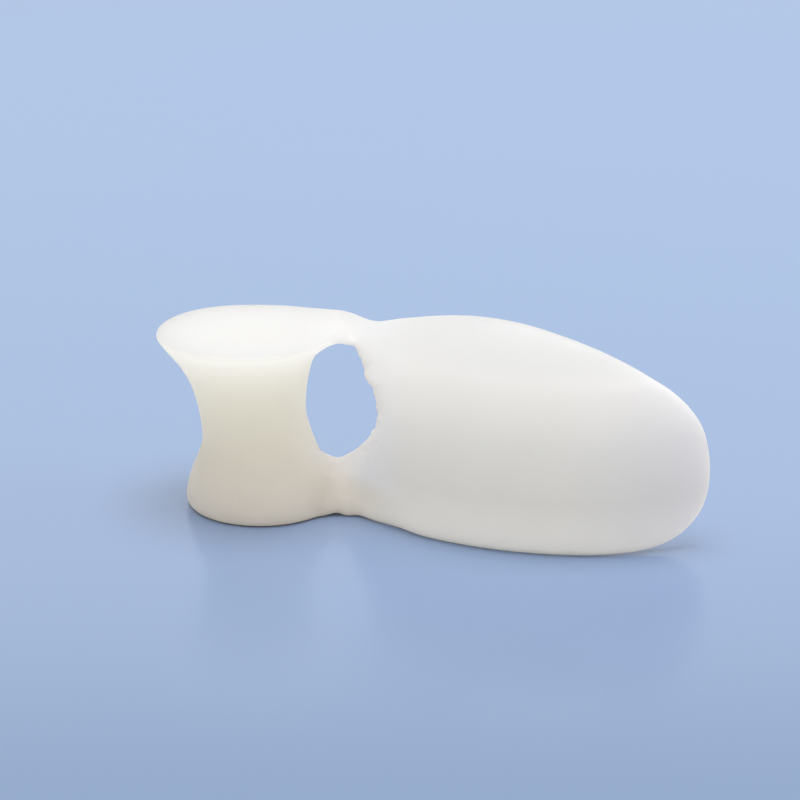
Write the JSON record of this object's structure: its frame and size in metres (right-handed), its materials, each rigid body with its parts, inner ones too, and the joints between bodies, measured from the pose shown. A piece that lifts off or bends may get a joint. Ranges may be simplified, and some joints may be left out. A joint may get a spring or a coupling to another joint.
{
  "type": "toe separator",
  "caption": "Soft gel toe separator: a waisted spool for the gap between two toes, joined by two straps around a toe hole to a thin domed shield for the side of the foot.",
  "frame": {"origin": "on the spool's flat base, straight below the middle of its waist, on the surface that the part stands on", "axes": "+Z along the spool's waist, from its base to its wide flange; +X from the spool across the toe hole towards the shield's tip; +Y towards the shield's hollow side"},
  "size_m": [0.0725, 0.0329, 0.0289],
  "materials": {
    "gel": "soft satin, slightly translucent white"
  },
  "bodies": {
    "root": {"toe_separator": "gel"}
  },
  "joints": []
}
